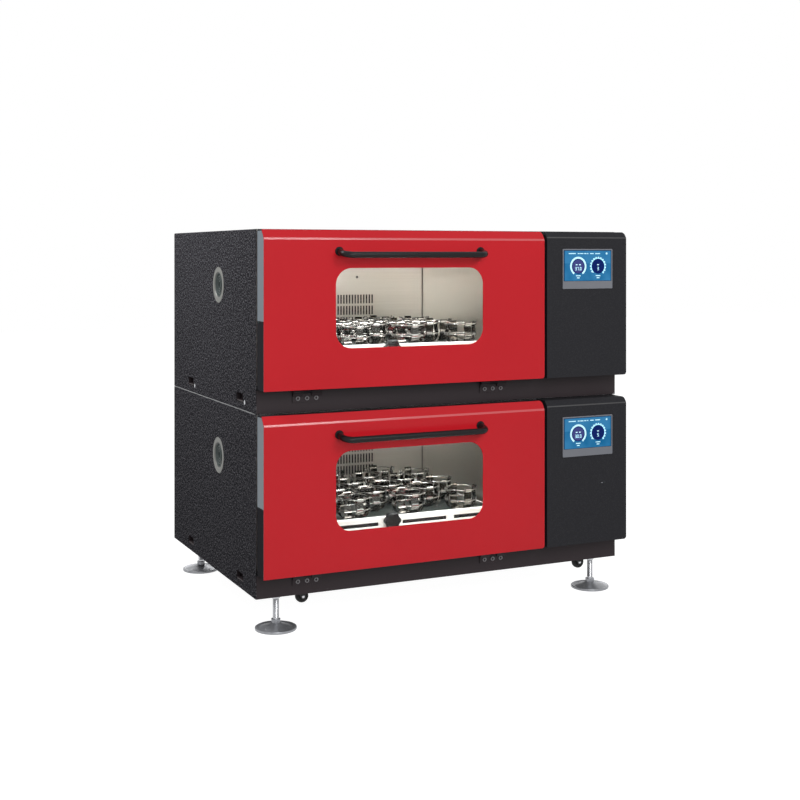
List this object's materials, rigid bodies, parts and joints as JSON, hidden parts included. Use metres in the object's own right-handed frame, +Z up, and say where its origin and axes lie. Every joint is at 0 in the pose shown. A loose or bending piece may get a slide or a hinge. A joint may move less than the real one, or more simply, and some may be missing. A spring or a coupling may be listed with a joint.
{
  "type": "incubated shaker",
  "caption": "Stacked incubated shaker cabinets with drop-down windowed doors, orbiting clamp platforms, touchscreen fascias, levelling feet and casters.",
  "frame": {"origin": "on the floor, under the middle of the overall box", "axes": "+X along the front to the viewer's right, +Y to the back, +Z up"},
  "size_m": [1.21, 0.9801, 1.1397],
  "materials": {
    "powder_coat": "satin",
    "base_black": "satin",
    "stainless": "satin",
    "fascia_black": "satin",
    "screen_blue": "gloss",
    "door_black": "satin",
    "door_red": "gloss",
    "window_glass": "gloss",
    "rubber": "matte",
    "handle_black": "satin",
    "zinc": "gloss",
    "aluminium": "satin",
    "grille_grey": "satin",
    "steel": "satin",
    "motor_grey": "satin",
    "knob_black": "satin",
    "fan_black": "matte",
    "caster_black": "matte"
  },
  "bodies": {
    "cabinet": {"lower_cabinet_shell": "powder_coat", "lower_rear_panel": "powder_coat", "lower_base_pan": "base_black", "lower_chamber_liner": "stainless", "lower_control_fascia": "fascia_black", "lower_touchscreen": "screen_blue", "lower_hinge_left": "steel", "lower_hinge_right": "steel", "lower_side_vent": "grille_grey", "lower_drive_motor": "motor_grey", "lower_drive_belt": "rubber", "upper_cabinet_shell": "powder_coat", "upper_rear_panel": "powder_coat", "upper_base_pan": "base_black", "upper_chamber_liner": "stainless", "upper_control_fascia": "fascia_black", "upper_touchscreen": "screen_blue", "upper_hinge_left": "steel", "upper_hinge_right": "steel", "upper_side_vent": "grille_grey", "upper_drive_motor": "motor_grey", "upper_drive_belt": "rubber"},
    "lower_door": {"lower_door_frame": "door_black", "lower_door_skin": "door_red", "lower_window_glass": "window_glass", "lower_door_gasket": "rubber", "lower_door_handle": "handle_black"},
    "lower_crank": {"lower_main_crank": "steel"},
    "lower_tray": {"lower_platform": "aluminium", "lower_flask_clamps": "stainless"},
    "lower_knob": {"lower_tray_knob": "knob_black"},
    "lower_idler_shaft_left": {"lower_idler_left": "steel"},
    "lower_idler_shaft_right": {"lower_idler_right": "steel"},
    "lower_motor_shaft": {"lower_motor_pulley": "steel"},
    "lower_fan": {"lower_fan_wheel": "fan_black"},
    "upper_door": {"upper_door_frame": "door_black", "upper_door_skin": "door_red", "upper_window_glass": "window_glass", "upper_door_gasket": "rubber", "upper_door_handle": "handle_black"},
    "upper_crank": {"upper_main_crank": "steel"},
    "upper_tray": {"upper_platform": "aluminium", "upper_flask_clamps": "stainless"},
    "upper_knob": {"upper_tray_knob": "knob_black"},
    "upper_idler_shaft_left": {"upper_idler_left": "steel"},
    "upper_idler_shaft_right": {"upper_idler_right": "steel"},
    "upper_motor_shaft": {"upper_motor_pulley": "steel"},
    "upper_fan": {"upper_fan_wheel": "fan_black"},
    "foot_front_left": {"levelling_foot_front_left": "zinc"},
    "caster_front_left": {"caster_fork_front_left": "caster_black"},
    "wheel_front_left": {"caster_wheel_front_left": "caster_black"},
    "foot_front_right": {"levelling_foot_front_right": "zinc"},
    "caster_front_right": {"caster_fork_front_right": "caster_black"},
    "wheel_front_right": {"caster_wheel_front_right": "caster_black"},
    "foot_rear_left": {"levelling_foot_rear_left": "zinc"},
    "caster_rear_left": {"caster_fork_rear_left": "caster_black"},
    "wheel_rear_left": {"caster_wheel_rear_left": "caster_black"},
    "foot_rear_right": {"levelling_foot_rear_right": "zinc"},
    "caster_rear_right": {"caster_fork_rear_right": "caster_black"},
    "wheel_rear_right": {"caster_wheel_rear_right": "caster_black"}
  },
  "joints": [
    {"name": "lower_door_hinge", "type": "hinge", "parent": "cabinet", "child": "lower_door", "pos_m": [-0.15, -0.37985, 0.159], "axis": [1, 0, 0], "range_deg": [0, 90]},
    {"name": "lower_crank_spin", "type": "hinge", "parent": "cabinet", "child": "lower_crank", "pos_m": [-0.147, -0.01285, 0.125], "axis": [0, 0, 1], "continuous": true},
    {"name": "lower_tray_orbit", "type": "hinge", "parent": "lower_crank", "child": "lower_tray", "pos_m": [-0.147, 0.00015, 0.25], "axis": [0, 0, 1], "continuous": true},
    {"name": "lower_idler_spin_left", "type": "hinge", "parent": "cabinet", "child": "lower_idler_shaft_left", "pos_m": [-0.417, -0.01285, 0.125], "axis": [0, 0, 1], "continuous": true},
    {"name": "lower_idler_spin_right", "type": "hinge", "parent": "cabinet", "child": "lower_idler_shaft_right", "pos_m": [0.123, -0.01285, 0.125], "axis": [0, 0, 1], "continuous": true},
    {"name": "lower_motor_spin", "type": "hinge", "parent": "cabinet", "child": "lower_motor_shaft", "pos_m": [-0.147, 0.23715, 0.19], "axis": [0, 0, 1], "continuous": true},
    {"name": "lower_fan_spin", "type": "hinge", "parent": "cabinet", "child": "lower_fan", "pos_m": [-0.15, 0.35215, 0.4], "axis": [0, 1, 0], "continuous": true},
    {"name": "lower_knob_turn", "type": "hinge", "parent": "lower_tray", "child": "lower_knob", "pos_m": [-0.147, -0.27985, 0.26667], "axis": [0, 1, 0], "continuous": true},
    {"name": "upper_door_hinge", "type": "hinge", "parent": "cabinet", "child": "upper_door", "pos_m": [-0.15, -0.37985, 0.679], "axis": [1, 0, 0], "range_deg": [0, 90]},
    {"name": "upper_crank_spin", "type": "hinge", "parent": "cabinet", "child": "upper_crank", "pos_m": [-0.147, -0.01285, 0.645], "axis": [0, 0, 1], "continuous": true},
    {"name": "upper_tray_orbit", "type": "hinge", "parent": "upper_crank", "child": "upper_tray", "pos_m": [-0.147, 0.00015, 0.77], "axis": [0, 0, 1], "continuous": true},
    {"name": "upper_idler_spin_left", "type": "hinge", "parent": "cabinet", "child": "upper_idler_shaft_left", "pos_m": [-0.417, -0.01285, 0.645], "axis": [0, 0, 1], "continuous": true},
    {"name": "upper_idler_spin_right", "type": "hinge", "parent": "cabinet", "child": "upper_idler_shaft_right", "pos_m": [0.123, -0.01285, 0.645], "axis": [0, 0, 1], "continuous": true},
    {"name": "upper_motor_spin", "type": "hinge", "parent": "cabinet", "child": "upper_motor_shaft", "pos_m": [-0.147, 0.23715, 0.71], "axis": [0, 0, 1], "continuous": true},
    {"name": "upper_fan_spin", "type": "hinge", "parent": "cabinet", "child": "upper_fan", "pos_m": [-0.15, 0.35215, 0.92], "axis": [0, 1, 0], "continuous": true},
    {"name": "upper_knob_turn", "type": "hinge", "parent": "upper_tray", "child": "upper_knob", "pos_m": [-0.147, -0.27985, 0.78667], "axis": [0, 1, 0], "continuous": true},
    {"name": "foot_screw_front_left", "type": "slide", "parent": "cabinet", "child": "foot_front_left", "axis": [0, 0, 1], "range_m": [-0.01, 0.045]},
    {"name": "caster_swivel_front_left", "type": "hinge", "parent": "cabinet", "child": "caster_front_left", "pos_m": [-0.471, -0.32985, 0.122], "axis": [0, 0, 1], "continuous": true},
    {"name": "wheel_roll_front_left", "type": "hinge", "parent": "caster_front_left", "child": "wheel_front_left", "pos_m": [-0.453, -0.32985, 0.085], "axis": [0, 1, 0], "continuous": true},
    {"name": "foot_screw_front_right", "type": "slide", "parent": "cabinet", "child": "foot_front_right", "axis": [0, 0, 1], "range_m": [-0.01, 0.045]},
    {"name": "caster_swivel_front_right", "type": "hinge", "parent": "cabinet", "child": "caster_front_right", "pos_m": [0.471, -0.32985, 0.122], "axis": [0, 0, 1], "continuous": true},
    {"name": "wheel_roll_front_right", "type": "hinge", "parent": "caster_front_right", "child": "wheel_front_right", "pos_m": [0.489, -0.32985, 0.085], "axis": [0, 1, 0], "continuous": true},
    {"name": "foot_screw_rear_left", "type": "slide", "parent": "cabinet", "child": "foot_rear_left", "axis": [0, 0, 1], "range_m": [-0.01, 0.045]},
    {"name": "caster_swivel_rear_left", "type": "hinge", "parent": "cabinet", "child": "caster_rear_left", "pos_m": [-0.471, 0.43015, 0.122], "axis": [0, 0, 1], "continuous": true},
    {"name": "wheel_roll_rear_left", "type": "hinge", "parent": "caster_rear_left", "child": "wheel_rear_left", "pos_m": [-0.453, 0.43015, 0.085], "axis": [0, 1, 0], "continuous": true},
    {"name": "foot_screw_rear_right", "type": "slide", "parent": "cabinet", "child": "foot_rear_right", "axis": [0, 0, 1], "range_m": [-0.01, 0.045]},
    {"name": "caster_swivel_rear_right", "type": "hinge", "parent": "cabinet", "child": "caster_rear_right", "pos_m": [0.471, 0.43015, 0.122], "axis": [0, 0, 1], "continuous": true},
    {"name": "wheel_roll_rear_right", "type": "hinge", "parent": "caster_rear_right", "child": "wheel_rear_right", "pos_m": [0.489, 0.43015, 0.085], "axis": [0, 1, 0], "continuous": true}
  ],
  "couplings": [
    {"joint": "lower_tray_orbit", "follows": "lower_crank_spin", "ratio": -1},
    {"joint": "lower_idler_spin_left", "follows": "lower_crank_spin", "ratio": 1},
    {"joint": "lower_idler_spin_right", "follows": "lower_crank_spin", "ratio": 1},
    {"joint": "lower_motor_spin", "follows": "lower_crank_spin", "ratio": 3.0769},
    {"joint": "upper_tray_orbit", "follows": "upper_crank_spin", "ratio": -1},
    {"joint": "upper_idler_spin_left", "follows": "upper_crank_spin", "ratio": 1},
    {"joint": "upper_idler_spin_right", "follows": "upper_crank_spin", "ratio": 1},
    {"joint": "upper_motor_spin", "follows": "upper_crank_spin", "ratio": 3.0769}
  ]
}
